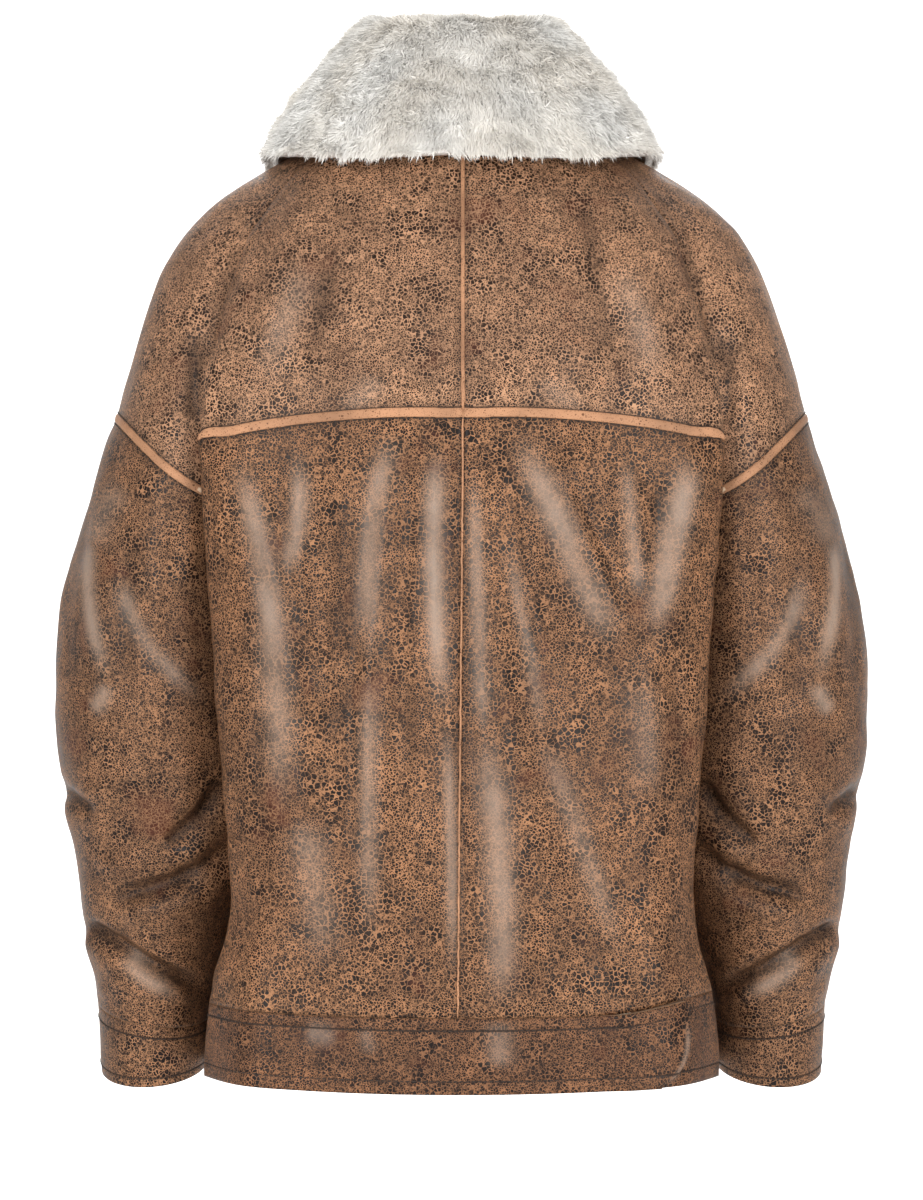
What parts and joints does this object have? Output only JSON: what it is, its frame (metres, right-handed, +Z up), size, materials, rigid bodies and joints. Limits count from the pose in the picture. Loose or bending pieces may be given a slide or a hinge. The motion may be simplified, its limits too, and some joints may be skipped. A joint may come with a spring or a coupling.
{
  "type": "shearling jacket",
  "caption": "Oversized shearling jacket with dropped shoulders, broad fur collar, back yoke, hem band and cuffs, filled out as if worn, with open neck, hem and cuffs",
  "frame": {"origin": "centre of the neck opening, level with the back neck seam", "axes": "+Z up, -Y the back that the picture shows, +X the wearer's right"},
  "size_m": [0.6116, 0.2905, 0.8004],
  "materials": {
    "leather": "crackled, satin",
    "fur": "plush",
    "tape": "woven",
    "metal": "aged"
  },
  "bodies": {
    "jacket": {"back_yoke_left": "leather", "back_left": "leather", "front_left": "leather", "sleeve_left": "leather", "cuff_left": "leather", "waistband_front_left": "leather", "collar_left": "fur", "back_yoke_right": "leather", "back_right": "leather", "front_right": "leather", "sleeve_right": "leather", "cuff_right": "leather", "waistband_front_right": "leather", "collar_right": "fur", "waistband_back": "leather", "zip_strip": "tape", "zip_slider": "metal"},
    "pull": {"zip_pull": "metal"}
  },
  "joints": [
    {"name": "pull_hinge", "type": "hinge", "parent": "jacket", "child": "pull", "pos_m": [0, 0.08361, -0.10401], "axis": [1, 0, 0], "range_deg": [0, 150]}
  ]
}
